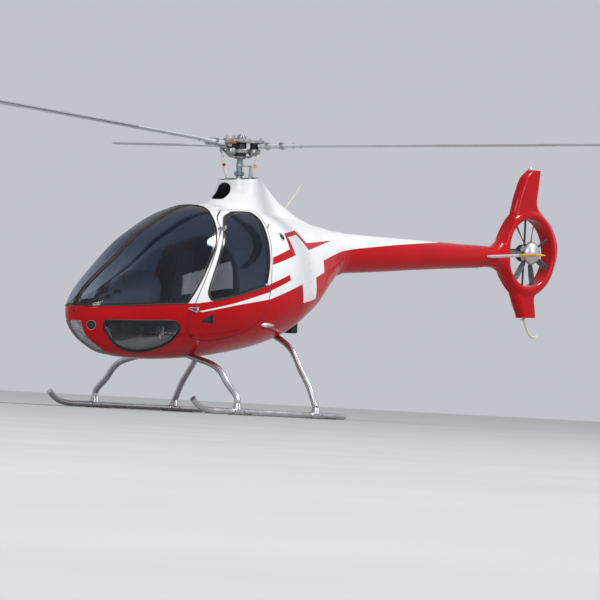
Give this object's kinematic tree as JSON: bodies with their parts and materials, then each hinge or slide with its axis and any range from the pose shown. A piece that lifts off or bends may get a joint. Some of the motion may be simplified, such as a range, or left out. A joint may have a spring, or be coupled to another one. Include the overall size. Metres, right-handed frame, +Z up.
{
  "type": "light helicopter with ducted tail fan",
  "caption": "Light two-seat helicopter on skid gear, with a bubble cabin, hinged doors, a bladed main rotor and a tail fan turning in a duct in the fin.",
  "frame": {"origin": "on the ground, on the centreline, midway between the front blade's tip and the tail's rear edge", "axes": "+X aft along the centreline, +Y to starboard, +Z up; the nose points to -X"},
  "size_m": [7.9745, 6.3254, 2.4306],
  "materials": {
    "white_paint": "gloss paint over composite",
    "red_paint": "gloss paint",
    "yellow_paint": "gloss paint",
    "clear_glazing": "clear acrylic",
    "grey_trim": "textured",
    "dark_trim": "matte",
    "seat_cloth": "woven",
    "steel_grey": "satin",
    "alloy": "satin",
    "cast_metal": "cast",
    "blade_paint": "semi-gloss paint",
    "lens": "clear"
  },
  "bodies": {
    "airframe": {"cabin_shell": "white_paint", "engine_cowling": "white_paint", "windscreen_port": "clear_glazing", "windscreen_starboard": "clear_glazing", "chin_window_port": "clear_glazing", "chin_window_starboard": "clear_glazing", "nose_lamp_cover": "clear_glazing", "mast_fairing": "white_paint", "cabin_floor": "grey_trim", "cabin_bulkhead": "grey_trim", "instrument_console": "grey_trim", "screen_strut": "dark_trim", "seat_port": "seat_cloth", "seat_starboard": "seat_cloth", "cyclic_port": "dark_trim", "cyclic_starboard": "dark_trim", "collective_port": "dark_trim", "collective_starboard": "dark_trim", "pedals_port": "dark_trim", "pedals_starboard": "dark_trim", "engine_block": "cast_metal", "main_gearbox": "cast_metal", "tail_boom": "red_paint", "fin_and_duct": "red_paint", "stabiliser_port": "yellow_paint", "stabiliser_starboard": "yellow_paint", "fan_gearbox": "dark_trim", "tail_skid": "steel_grey", "fin_strobe": "alloy", "skid_port": "alloy", "skid_starboard": "alloy", "cross_tube_front": "alloy", "cross_tube_rear": "alloy", "whip_antenna": "steel_grey", "exhaust_outlet": "cast_metal", "position_light_port": "alloy", "position_light_starboard": "alloy", "landing_lamp": "alloy"},
    "main_rotor": {"rotor_mast": "steel_grey", "rotor_hub": "steel_grey", "rotor_blade_1": "blade_paint", "rotor_blade_2": "blade_paint", "rotor_blade_3": "blade_paint", "swashplate_and_links": "alloy"},
    "tail_fan_rotor": {"tail_fan": "alloy"},
    "door_port": {"door_panel_port": "white_paint", "door_window_port": "clear_glazing", "door_handle_port": "steel_grey"},
    "door_starboard": {"door_panel_starboard": "white_paint", "door_window_starboard": "clear_glazing", "door_handle_starboard": "steel_grey"}
  },
  "joints": [
    {"name": "main_rotor_spin", "type": "hinge", "parent": "airframe", "child": "main_rotor", "pos_m": [-0.387, 0, 2.258], "axis": [0, 0, 1], "continuous": true},
    {"name": "tail_fan_spin", "type": "hinge", "parent": "airframe", "child": "tail_fan_rotor", "pos_m": [3.541, 0, 1.591], "axis": [0, 1, 0], "continuous": true},
    {"name": "door_port_hinge", "type": "hinge", "parent": "airframe", "child": "door_port", "pos_m": [-1.462, -0.59, 0.839], "axis": [-0.4841, -0.1132, -0.8676], "range_deg": [0, 70]},
    {"name": "door_starboard_hinge", "type": "hinge", "parent": "airframe", "child": "door_starboard", "pos_m": [-1.462, 0.59, 0.839], "axis": [0.4841, -0.1132, 0.8676], "range_deg": [0, 70]}
  ]
}
